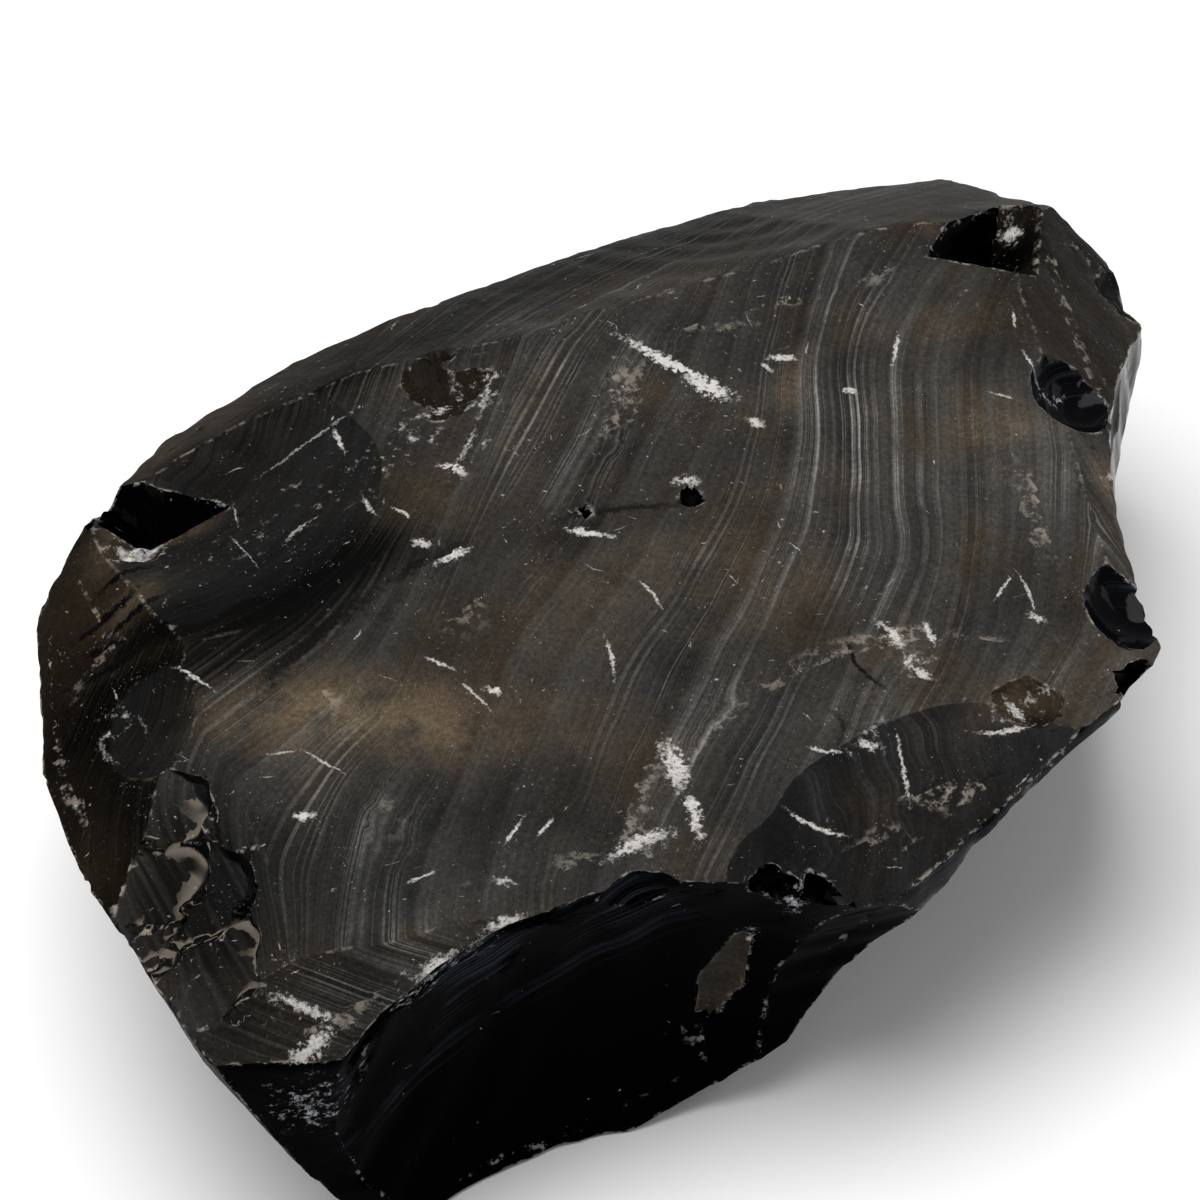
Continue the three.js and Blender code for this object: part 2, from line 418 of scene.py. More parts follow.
def gap_slope(near, targets, gap, first, second):
    """How fast the gap between two scars grows as a ray slides each way along the cage."""
    small = 0.02 * CELL
    slope = np.empty((len(near), 2))
    for way in range(2):
        moved = targets[near] + small * slides[near, way]
        ahead = reach_chosen(second[near], moved) - reach_chosen(first[near], moved)
        slope[:, way] = (ahead - gap[near]) / small
    return slope


def slide_to_edges(targets):
    """Moves targets near an edge by -gap * slope / |slope|^2, at most half a cell each way."""
    length, first, other, second = surface(targets)
    gap = other - length
    near = np.flatnonzero(np.isfinite(gap) & (gap < 2.0) & ~fixed)
    slope = gap_slope(near, targets, gap, first, second)
    square = (slope ** 2).sum(1)
    step = -gap[near][:, None] * slope / np.maximum(square, 1e-12)[:, None]
    good = np.isfinite(step).all(1) & (np.abs(step).max(1) <= 0.5 * CELL)
    result = targets.copy()
    result[near[good]] += np.einsum("ij,ijk->ik", step[good], slides[near[good]])
    return result, int(good.sum())


targets, moved_count = slide_to_edges(targets)
print(moved_count, "rays slid onto edges")

# %% [markdown]
# ## Chipped edges
# A glass edge is sharp but never whole: small flakes spring off it whenever it touches
# something. The gap between the two nearest scars, over the slope of that gap, is how far a point
# lies from the edge, and the slope alone says how sharp the edge is. Noise cut off below zero
# turns the sharp ones into separate nicks.

# %% The points of the surface
FAR = 6.0                               # mm; no point counts as further than this from an edge
NICK_DEPTH = 0.7                        # mm that noise of height 1 takes off an edge
NICK_REACH = 1.1                        # mm over which the nicks fade
start, way = leave(targets)
length, first, other, second = surface(targets)
gap = np.minimum(other - length, 99)
near = np.flatnonzero(gap < FAR)
slope = np.linalg.norm(gap_slope(near, targets, gap, first, second), axis=1)
edge_away = np.full(len(targets), FAR)
edge_away[near] = np.clip(gap[near] / np.maximum(slope, 1e-3), 0, FAR)
sharpness = np.zeros(len(targets))
sharpness[near] = np.clip((slope - 0.25) / 0.5, 0, 1)
points = start + way * length[:, None]
nick = np.maximum(cloud(points, 4.5, 700) - 0.1, 0) + 0.5 * np.maximum(cloud(points, 2.0, 701), 0)
nick = nick * np.exp(-edge_away / NICK_REACH) * sharpness * (first != NAMES.index("base"))
points = points - way * (NICK_DEPTH * nick)[:, None]
print("stone, mm:", points.min(0).round(1), "to", points.max(0).round(1))

# %% [markdown]
# ## The foot of a step
# A step has a riser, painted black as shade, and past its foot a pale ledge of torn glass that is
# partly painted light. To find them again in the finish, every point near a step is told how far
# past the foot it lies: the length of its ray to the floor less the length to the riser, which is
# below zero on the riser itself.

# %% How far past the foot of a step
beyond = np.full(len(points), 9.0)
for index, flake in enumerate(FLAKES):
    if flake[0].startswith("step"):
        number = len(SCARS) + index
        mine = (first == number) | ((second == number) & (gap < 1.5) & (first < len(SCARS)))
        riser, step_floor = flake_parts(index, start[mine], way[mine])
        beyond[mine] = np.clip(step_floor - riser, -6, 9)
print("step risers:", int((beyond < 0).sum()), "points")

# %% [markdown]
# ## Triangles
# Each quad of the grid can be split along either diagonal. The one whose middle lies closer to
# the true surface is the one that follows an edge, so a ray is sent through every quad's middle
# and the better diagonal is taken.

# %% Choosing the diagonals
middle_start, middle_way = leave(targets[quads].mean(1))
middle = middle_start + middle_way * surface(targets[quads].mean(1))[0][:, None]
miss = [np.linalg.norm(points[quads[:, [i, i + 2]]].mean(1) - middle, axis=1) for i in (0, 1)]
first_way = (miss[0] <= miss[1])[:, None]
corners = np.where(first_way, [[0, 1, 2, 0, 2, 3]], [[1, 2, 3, 1, 3, 0]])
triangles = np.take_along_axis(quads, corners, 1).reshape(-1, 3)
triangle_map = loose_map[np.take_along_axis(loose_quads, corners, 1).reshape(-1, 3)]
_, face_scar, _, _ = surface(targets[triangles].mean(1))
print(len(triangles), "triangles")

# %% [markdown]
# ## Flow bands
# The lava flowed in thin layers, nearly level here, and cooled with them frozen in. A band on
# the surface is where a layer comes out. So the bands are not painted on each face: one number,
# the layer, is worked out for every vertex from its place in space, and every face shows its own
# slice of it. The broad upper face cuts the layers at a low angle, which spreads them wide.

# %% The layer number


def ramp(x, start, soft):
    """Zero before start and then rising one for one, with a soft corner: soft*log(1+e^...)."""
    return soft * np.logaddexp(0, (x - start) / soft)


def smooth(x, low, high):
    """Rises from 0 at low to 1 at high along a smooth S."""
    t = np.clip((x - low) / (high - low), 0, 1)
    return t * t * (3 - 2 * t)


def layer(p):
    """The flow layer: a sheared plan coordinate, bent by soft ramps, plus the height."""
    right = 0.866 * p[:, 0] - 0.5 * p[:, 1]
    ahead = 0.5 * p[:, 0] + 0.866 * p[:, 1]
    bend = 0.42 * ahead
    bend -= 0.42 * smooth(right, 12, 42) * (ramp(ahead, -8, 5) - ramp(ahead, 36, 4))
    bend += 0.70 * smooth(-right, 12, 46) * (ramp(ahead, -48, 4) - ramp(ahead, -12, 6))
    bend += 0.42 * smooth(-right, -8, 14) * ramp(-ahead, 56, 3)
    plan = right - bend + 2.2 * cloud(p, 38, 801) + 0.5 * cloud(p, 13, 802)
    above = p[:, 2] - (57 + 0.105 * (p[:, 1] + 18))
    return 0.28 * plan + 0.85 * above


flow = layer(points)
print("layers from", flow.min().round(1), "to", flow.max().round(1), "mm")

# %% [markdown]
# ## Patches
# Some things on the stone have a place of their own: a tan patch where the glass is thin over a
# flaw, painted shade under a crease and in the deep end of the notch, crushed white spots where it
# was struck, and painted glints on the notch's wall, in the left groove and at the front nicks.
# Each is a soft ellipse given one by one, and all of one kind are added into a vertex attribute.
# Painted shade whose strength is below zero paints light there instead, mostly over the right of
# the upper face. Flow bands show faintly everywhere, and clearly where they have patches of their own.

# %% Soft patches given one by one


def patch(x, y, long, wide, bearing, strength=1.0):
    """A soft ellipse seen from above: e to the minus the squared distance in its own axes."""
    b = np.radians(bearing)
    dx, dy = points[:, 0] - x, points[:, 1] - y
    u = (dx * np.cos(b) + dy * np.sin(b)) / long
    v = (dy * np.cos(b) - dx * np.sin(b)) / wide
    return strength * np.exp(-(u * u + v * v)) * smooth(points[:, 2], 38, 46)


def patches(*rows):
    """The sum of many patches. One whose strength is below zero takes away from the others."""
    return sum(patch(*row) for row in rows)


def spot(place, area, strength):
    """A soft spot on a steep side: e to the minus the squared distance over an area."""
    return strength * np.exp(-((points - place) ** 2).sum(1) / area)


# Each row: x, y, half length, half width, bearing and, unless it is 1, strength.
tan = patches(
    (-52, -15, 22, 6.5, -27), (-38, -27, 12, 6, -35, 0.6), (-22, 14, 9, 5, 40, 0.5),
    (38, 8, 7, 2.5, 45, 0.5), (60, -14, 8, 3, -30, 0.35), (67, 8, 5, 4, 0, 0.35),
    (-3, -12, 18, 9, -10, 0.35), (14, -28, 12, 8, 30, 0.3), (-64, 35, 6, 3, 60, 0.8),
    (-70, 8, 9, 1.6, -25, 0.9), (-53, 30.5, 7, 1.4, 5, 0.7), (-67, 19, 6, 3, 30, 0.5),
    (76, 27, 2, 2, 0, 0.9), (73.5, -27, 4, 3, 60, 1.1), (22, -43, 6, 5, 30, 0.5),
    (37, -58, 9, 4, 0, 0.5), (8, -64, 8, 5, 0, 0.2), (-20, 50, 60, 8, 0, 0.35),
) + spot([-13, -62, 21], 60, 0.45)
# Painted shade: under the crease of the grey scar, in the deep end of the notch and in other places; rows
# whose strength is below zero paint light instead.
painted_shading = patches(
    (-50, 3, 20, 6, 16, 1.5), (-52, 10, 24, 6, -4, 1.0), (86, 23, 7, 5, -20, 2.2),
    (-80, 2, 11, 9, 0, 1.2), (-30, 15, 14, 6, 25, 0.5), (-66, 10, 10, 7, 0, 0.8),
    (-82, -32, 20, 11, 80, 1.6), (-5, -2, 14, 2.5, -12, 0.5), (70, 5, 16, 14, 0, 0.35),
    (-30, 46, 36, 9, 5, 1.1), (8, -66, 18, 6, 0, 0.4), (-38, -40, 14, 9, 40, 0.5),
    (-72, -56, 14, 4, -10, 0.4), (-50, -57, 16, 2.5, 0, 0.3), (30, 51, 46, 9, 0, 1.2),
    (8, -64, 20, 9, 0, 0.35), (-20, -8, 20, 8, -10, 0.3), (44, -18, 36, 18, 62, -0.9),
    (42, -56, 14, 7, 0, -1.3), (64, -8, 12, 16, 0, -0.7), (68, -34, 9, 9, 0, -0.6),
    (12, 12, 20, 12, 60, -0.35),
)
band = patches(
    (42, -4, 36, 9, 62, 1.0), (-2, -34, 26, 9, 50, 0.6), (-62, -36, 22, 6, 60, 1.0),
    (-62, -2, 26, 9, 25, 0.6), (8, 22, 24, 8, 45, 0.9), (30, 50, 60, 5, 0, 0.7),
    (-68, -56, 14, 4, 0, 0.7), (68, -30, 10, 8, 60, 0.7), (10, -62, 22, 9, 10, 0.6),
    (0, 50, 90, 9, 0, 0.9),
) + 0.08
# Crushed white glass, and painted glints: the rows at (91.5, 27.3), (-60, 31.5) and (-10, -70) are highlights
# on the notch's wall, in the left groove and between the front nicks.
crush_and_glint = patches(
    (-24.5, -56, 4.5, 2.2, -20), (-15.5, -48.5, 1.2, 8, -17, 0.8), (26, -44, 3, 7, 0, 0.9),
    (35, -59, 8, 3, 0, 0.9), (12, -54, 6, 2.5, 0, 0.7), (-78, 0, 4, 4, 0, 0.6),
    (-14, 17, 4, 3, 0, 0.6), (-24, 2, 5, 1.6, 0, 0.8), (-79, -55, 6, 3, 130, 0.5),
    (-58, -58, 10, 1.6, 0, 0.9), (12, 34, 5, 3, 0, 0.5), (91.5, 27.3, 2.4, 2.0, 30, 2.2),
    (-60, 31.5, 4, 2.5, 20, 2.0), (-10, -70, 2.5, 2, 0, 1.2), (74, -9, 4, 2, 0, 0.8),
    (-14, 29, 11, 4, 25, 0.8), (-40, 26, 24, 10, 10, 0.32), (-4, 27, 3, 8, -35, 0.9),
    (73, -27, 3.2, 2.2, 60, 1.0), (-64, -20, 8, 2, 20, 0.3),
) + spot([-79, -59, 34], 40, 0.9) + spot([-13, -64, 36], 6, 0.9)
print("strongest tan, dark, band and crush:",
      [round(float(kind.max()), 2) for kind in (tan, painted_shading, band, crush_and_glint)])

# %% [markdown]
# ## Bruises
# Glass bruises white wherever something hard touched it. The long ones have places of their own
# and are listed one by one; the small ones are scattered by a seeded random draw. A bruise is far
# finer than the mesh, so it is not geometry: each triangle is told where it lies in the frame of the
# bruise nearest to it, in half lengths and half widths, and the finish draws the shape there.

# %% Bruises given one by one
# Each is seen from above: its two ends, half its width, how far its middle bows out, all in mm
# from the datum, and its strength. A strength below zero paints a line of shade instead: the
# shadow under the crease, the shade down in the cracks of the left shoulder and beside a crushed
# oval near the front.
BRUISES = [
    (20.5, 28, 28.5, 11, 1.2, 0, 1.1), (25.5, 16, 28.3, 11.2, 1.7, 0, 1.1),
    (-13.5, -42, -15, -49, 1.6, 0, 0.9), (-15, -49, -18, -58, 1.1, 0.5, 0.9),
    (-21, -55.5, -30, -55.5, 1.1, -0.8, 0.9), (13, -0.3, 15.5, -1.5, 1.1, 0, 0.8),
    (-6, -1.2, -1, -5, 0.7, 0, 1.0), (38, 14.5, 41.5, 12.8, 0.7, 0, 0.95),
    (36.5, 14, 37, 12, 0.45, 0, 0.8), (29, 5, 30, 3.8, 0.8, 0, 0.9), (45, 3.5, 46, 2.5, 0.7, 0, 0.8),
    (58.5, 10, 54, 4.5, 0.4, 0, 0.8), (-11.5, -21, -14.5, -29, 0.35, 0.4, 0.8),
    (-2, -14, -1.5, -20, 0.35, 0.5, 0.8), (77, 6, 75, 2.5, 0.3, 0, 0.8), (73.5, -1.5, 73, -8, 0.3, 0, 0.7),
    (63.5, -6.5, 67, -10, 0.3, 0.3, 0.6), (45.5, -46, 46.5, -47.5, 0.8, 0, 0.8),
    (42.5, -41, 47, -38.5, 0.3, 0, 0.8), (48, -38, 46, -46, 0.3, 0.5, 0.7),
    (25, -37, 25.5, -42.5, 1.0, 0.4, 0.9), (25, -46, 26, -49, 0.8, 0, 0.9), (31, -40, 30, -44, 0.7, 0, 0.9),
    (-4, -59, 1.5, -65, 0.45, -0.8, 0.9), (17, -54, 12.5, -65, 0.4, 0, 0.8),
    (26.5, -59, 35, -62, 0.5, -0.8, 0.8), (34, -56.5, 34.5, -60, 0.8, 0, 0.8),
    (11.5, -54, 12.5, -55, 0.9, 0, 0.9), (4, -51, 8, -54, 0.4, -0.5, 0.8),
    (0, 33, -7.5, 24, 0.6, 0.4, 0.55), (-7.5, 24, -15, 18, 0.6, 0.6, 0.55),
    (-44, 33, -46, 27, 0.25, 0, 0.5),
    (-40, 35, -18, 38, 0.35, 0.6, 0.5), (-25, 37.5, -26, 31, 0.4, 0, 0.8),
    (-16.5, 19, -15, 14.5, 0.8, 1.2, 0.9),
    (-27, 6.5, -25.5, 5.5, 0.8, 0, 0.9), (-26, 1.5, -21, 1.8, 0.8, 0.5, 0.9),
    (-28, 22, -29, 15.5, 0.4, -0.3, 0.7), (-26.5, 15.5, -25.5, 11, 0.35, 0.4, 0.8),
    (-42, 19, -35.5, 21.5, 0.5, 0.8, 0.6), (-68, 2.5, -65, -4.7, 0.3, 0, 0.8),
    (-31, -22, -30, -23.5, 0.7, 0, 0.9), (-34, -19, -32.5, -26, 0.35, 0.2, 0.8),
    (-36, -13, -33.5, -17, 0.35, 0, 0.8), (-59, -19.5, -55.5, -26, 0.3, 0, 0.7),
    (-64, -18, -59, -19.5, 0.25, 0, 0.6), (-76, 1, -76.5, -5, 0.4, 1.2, 0.3),
    (-80, 1, -80.5, -6, 0.6, -1.4, 0.35),
    (-48, 27, -48, 15.5, 0.2, 0.3, 0.5), (-65, -29.5, -63, -30, 0.8, 0, 0.9),
    (-42.5, -47, -37.5, -44, 0.3, 0, 0.8), (-37, -47.5, -34, -46, 0.35, 0, 0.8),
    (-57, -46.5, -52.5, -46.5, 0.3, 0, 0.8), (-46, -51.5, -44.5, -53, 0.7, 0, 0.7),
    (-81, -51.5, -73.5, -58, 0.6, 0, 0.8), (-75.5, -58, -81.5, -58.6, 1.1, 0.4, 0.9),
    (-61, -58.3, -56.5, -58, 0.9, 0, 0.9), (-51, -57.5, -45.5, -58.4, 0.7, 0, 0.9),
    (-60, -8, -36, 1, 1.3, 1.0, -0.75), (-36, 1, -21, 3.3, 0.9, 0.6, -0.6),
    (-6, 1, 12.5, -5.5, 0.7, 1.0, -0.7),
    (-57, 12, -70.5, 14, 0.8, 0.8, -1.3), (-70.5, 14, -76, 16.5, 0.8, 0, -1.3),
    (-61.5, 18.6, -73, 17, 0.7, 0.8, -1.3), (-65, 21.5, -76, 20.5, 0.8, 0.9, -1.3),
    (-60, 25, -70, 25, 0.6, -0.9, -1.2), (-68, 10, -80, 13, 0.8, 0.8, -1.2),
    (21, -36, 20, -48, 0.4, -2.5, -0.9),
    (10, -47, 9, -52, 0.35, 1.2, -0.6),
]

corner = points[triangles]
centre = corner.mean(1)
out = np.cross(corner[:, 1] - corner[:, 0], corner[:, 2] - corner[:, 0])
area = np.linalg.norm(out, axis=1)
out /= area[:, None]
by_x = np.argsort(centre[:, 0])
sorted_x = centre[by_x, 0]
nearest = np.full(len(triangles), 5.0)
bruise = np.full((len(triangles), 3, 3), 9.0)


def lay_bruise(middle, along, up, half_length, half_width, bow, strength, flat=False):
    """Tells the triangles around a bruise where their corners lie in its frame: the distance
    along it over its half length, and across it, less its bow, over its half width."""
    across = np.cross(up, along)
    low, high = np.searchsorted(sorted_x, middle[0] + np.array([-1, 1]) * (half_length + 5))
    mine = by_x[low:high]
    level_gap = np.abs((centre[mine] - middle) @ up)
    mine = mine[(level_gap < (40 if flat else 2)) & (out[mine] @ up > 0.3)]
    offset = centre[mine] - middle
    u = offset @ along / half_length
    v = offset @ across - bow * (1 - u * u)
    away = np.hypot(np.maximum(np.abs(u) - 1, 0) * half_length, v) - half_width
    closer = away < nearest[mine]
    mine = mine[closer]
    nearest[mine] = away[closer]
    offset = corner[mine] - middle
    u = offset @ along / half_length
    bruise[mine, :, 0] = u
    bruise[mine, :, 1] = (offset @ across - bow * (1 - u * u)) / half_width
    bruise[mine, :, 2] = strength


UP = np.array([0.0, 0.0, 1.0])
for x1, y1, x2, y2, half_width, bow, strength in BRUISES:
    span = np.array([x2 - x1, y2 - y1, 0.0])
    half = np.linalg.norm(span) / 2
    lay_bruise(np.array([(x1 + x2) / 2, (y1 + y2) / 2, 55.0]), span / (2 * half), UP, half + half_width,
               half_width, bow, strength, flat=True)
print(len(BRUISES), "bruises set by hand")

# %% Scattered bruises
# They gather in soft clusters, and there are more of them on top than on the sides.
SCATTERED = 1300
draw = np.random.default_rng(11)
cluster = 0.25 + np.maximum(cloud(centre, 22, 900), 0) * 1.5
likely = area * cluster * np.where(out[:, 2] > 0.5, 1.0, 0.35)
picked = draw.choice(len(triangles), SCATTERED, replace=False, p=likely / likely.sum())
for index in picked:
    turn = draw.uniform(0, 2 * np.pi)
    sideways = np.cross(out[index], [0.6, 0.0, 0.8])
    sideways /= np.linalg.norm(sideways)
    along = np.cos(turn) * sideways + np.sin(turn) * np.cross(out[index], sideways)
    half = min(0.18 * np.exp(draw.exponential(0.75)), 2.0)
    half_width = min(draw.uniform(0.08, 0.24), half)
    lay_bruise(centre[index], along, out[index], half, half_width, draw.uniform(-0.3, 0.3) * half,
               draw.uniform(0.10, 0.60))
print(len(picked), "scattered bruises")

# %% [markdown]
# ## The mesh
# The points, triangles, baking map and attributes go into one mesh. Each triangle knows its scar,
# so it knows its finish, and finishes meet exactly at the edges.

# %% Building the stone
FINISHES = ["weathered", "shaded_slate", "brown", "fresh", "jet"]
FLAKE_FINISH = {"left_groove": "brown", "ridge_scallop": "brown", "crushed_right": "brown",
                "step_upper": "weathered", "step_middle": "weathered", "step_lower": "weathered",
                "step_inner": "weathered", "step_left": "weathered", "lens_chip": "weathered",
                "edge_dish_low": "shaded_slate", "end_bite": "shaded_slate",
                "blue_scallop": "fresh", "edge_dish": "fresh"}       # the others are jet
finish_names = [scar[5] for scar in SCARS] + [FLAKE_FINISH.get(flake[0], "jet") for flake in FLAKES]
finish_of = np.array([FINISHES.index(name) for name in finish_names])
SHARP_ANGLE = 24                        # degrees; an edge sharper than this isn't smoothed over


def make_mesh(name, points, triangles, triangle_map):
    """A mesh from whole arrays, in metres, with its baking map."""
    mesh = bpy.data.meshes.new(name)
    mesh.from_pydata(((points - MIDDLE) * MM).tolist(), [], triangles.tolist())
    uv = mesh.uv_layers.new(name="OFBake")
    uv.data.foreach_set("uv", triangle_map.reshape(-1).astype(np.float32))
    return mesh


def store(mesh, name, kind, domain, values):
    """Writes one attribute from an array."""
    attribute = mesh.attributes.new(name, kind, domain)
    key = {"FLOAT": "value", "FLOAT_VECTOR": "vector"}[kind]
    attribute.data.foreach_set(key, np.ascontiguousarray(values, np.float32).reshape(-1))


mesh = make_mesh("obsidian_stone", points, triangles, triangle_map)
store(mesh, "layer", "FLOAT", "POINT", flow)
store(mesh, "patches", "FLOAT_VECTOR", "POINT", np.stack([tan, painted_shading, band], -1))
store(mesh, "wear_and_glint", "FLOAT_VECTOR", "POINT", np.stack([edge_away, crush_and_glint, sharpness], -1))
store(mesh, "beyond", "FLOAT", "POINT", beyond)
store(mesh, "bruise", "FLOAT_VECTOR", "CORNER", bruise)
tone = 1 + 0.10 * lattice(face_scar, face_scar * 3, face_scar * 7, 5)   # each scar has its own
STEPS = [len(SCARS) + i for i, flake in enumerate(FLAKES) if flake[0].startswith("step")]
stepped = np.isin(face_scar, STEPS)
store(mesh, "face", "FLOAT_VECTOR", "FACE", np.stack([tone, stepped, np.zeros(len(tone))], -1))
face_finish = finish_of[face_scar]
NOTCH = len(SCARS) + [flake[0] for flake in FLAKES].index("notch")
notch_wall = (face_scar == NOTCH) & (out[:, 0] < 0.1)   # its right-hand walls are weathered brown
face_finish[notch_wall] = FINISHES.index("brown")
mesh.polygons.foreach_set("use_smooth", np.ones(len(triangles), bool))
mesh.set_sharp_from_angle(angle=np.radians(SHARP_ANGLE))
mesh.polygons.foreach_set("material_index", face_finish.astype(np.int32))
stone = bpy.data.objects.new("obsidian_stone", mesh)
bpy.context.scene.collection.objects.link(stone)
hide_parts("obsidian_chunk")
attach(stone, "root")
print(stone.name, len(mesh.vertices), "vertices")

# %% [markdown]
# ## Finishes
# One set of short helpers builds every node tree, so that each finish reads as a recipe. All
# patterns are worked out from the stone's own coordinates or its attributes.

# %% Helpers for node trees


class Recipe:
    """A material's node tree, with a short method for each kind of node."""

    def __init__(self, name):
        self.material = bpy.data.materials.new(name)
        self.material.use_nodes = True
        self.tree = self.material.node_tree
        self.shader = self.tree.nodes["Principled BSDF"]

    def node(self, kind, inputs=None, **settings):
        made = self.tree.nodes.new(kind)
        for key, value in settings.items():
            setattr(made, key, value)
        for key, value in (inputs or {}).items():
            self.feed(made.inputs[key], value)
        return made

    def feed(self, socket, value):
        if isinstance(value, bpy.types.NodeSocket):
            self.tree.links.new(value, socket)
        else:
            socket.default_value = value

    def maths(self, operation, a, b=0.0, c=0.0):
        return self.node("ShaderNodeMath", {0: a, 1: b, 2: c}, operation=operation).outputs[0]

    def times(self, a, b):
        return self.maths("MULTIPLY", a, b)

    def spread(self, value, low, high, to_low=0.0, to_high=1.0):
        return self.node("ShaderNodeMapRange", {"Value": value, "From Min": low, "From Max": high,
                         "To Min": to_low, "To Max": to_high}, interpolation_type="SMOOTHSTEP").outputs[0]

    def mix(self, amount, a, b, way="MIX"):
        made = self.node("ShaderNodeMix", {"Factor": amount}, data_type="RGBA", blend_type=way)
        for socket, value in ((made.inputs[6], a), (made.inputs[7], b)):
            self.feed(socket, value if isinstance(value, bpy.types.NodeSocket) else (*value, 1.0))
        return made.outputs[2]

    def noise(self, where, scale, detail=2.0, roughness=0.5):
        return self.node("ShaderNodeTexNoise", {"Vector": where, "Scale": scale, "Detail": detail,
                         "Roughness": roughness}).outputs[0]

    def strata(self, level, scale, detail=2.0):
        return self.node("ShaderNodeTexNoise", {"W": level, "Scale": scale, "Detail": detail},
                         noise_dimensions="1D").outputs[0]

    def hairline(self, level, scale, detail):
        """How far the strata are from their middle: zero along hair-thin lines."""
        return self.maths("ABSOLUTE", self.maths("SUBTRACT", self.strata(level, scale, detail), 0.5))

    def attribute(self, name):
        made = self.node("ShaderNodeAttribute", attribute_name=name)
        return made.outputs["Fac"], self.node("ShaderNodeSeparateXYZ", {0: made.outputs["Vector"]}).outputs

    def place(self):
        """Object coordinates in millimetres."""
        where = self.node("ShaderNodeTexCoord").outputs["Object"]
        return self.node("ShaderNodeVectorMath", {0: where, "Scale": 1 / MM}, operation="SCALE").outputs[0]

    def bump(self, height, distance, strength=1.0, normal=None):
        inputs = {"Height": height, "Distance": distance * MM, "Strength": strength}
        if normal is not None:
            inputs["Normal"] = normal
        return self.node("ShaderNodeBump", inputs).outputs[0]


print("helpers ready")

# %% Drawing the bruises


def draw_bruises(r, where):
    """White amounts, and amounts of painted shade where the strength is below zero: inside the
    ellipse where length(u, v) < 1, with a torn edge.
    """
    _, (u, v, strength) = r.attribute("bruise")
    torn = r.node("ShaderNodeTexNoise", {"Vector": where, "Scale": 1.1, "Detail": 3.0, "Roughness": 0.65})
    tear = r.node("ShaderNodeSeparateXYZ", {0: torn.outputs[1]}).outputs
    u = r.maths("ADD", u, r.spread(tear[0], 0.3, 0.7, -0.25, 0.25))
    v = r.maths("ADD", v, r.spread(tear[1], 0.25, 0.75, -0.7, 0.7))
    away = r.maths("SQRT", r.maths("ADD", r.times(u, u), r.times(v, v)))
    there = r.times(r.spread(away, 1.35, 0.25), r.maths("MAXIMUM", strength, 0.0))
    dusty = r.times(r.maths("SUBTRACT", r.noise(where, 2.4, 3.0, 0.75), 0.5), 1.5)
    white = r.times(r.spread(r.maths("ADD", there, dusty), 0.10, 1.15), r.spread(there, 0.0, 0.35))
    painted_shading = r.times(r.spread(away, 1.3, 0.3), r.maths("MAXIMUM", r.times(strength, -1.0), 0.0))
    return white, painted_shading


print("bruises are drawn by", draw_bruises.__name__)

# %% [markdown]
# ## Weathered glass
# Old surfaces have lost their mirror polish: a thin grey bloom lies over the brown-black glass,
# and the flow bands show through it as fine pale lines. The slate copy is the same recipe made
# darker and glossier; its darkness is painted shade on the scars that tilt away from the light.

# %% The upper face and its relations
CRUST_TAN = (0.080, 0.058, 0.036)
# painted shade on the riser of a step
RISER_SHADE = (0.002, 0.002, 0.002)
# torn pale glass at the foot of a step, partly painted light
LEDGE_TORN_AND_LIT = (0.130, 0.110, 0.088)
# painted shade in cracks and under the crease
CRACK_SHADE = (0.001, 0.001, 0.001)
WORN_PALE = (0.330, 0.290, 0.245)
# bruises, crushed glass and painted glints
BRUISE_AND_GLINT_WHITE = (0.52, 0.50, 0.475)


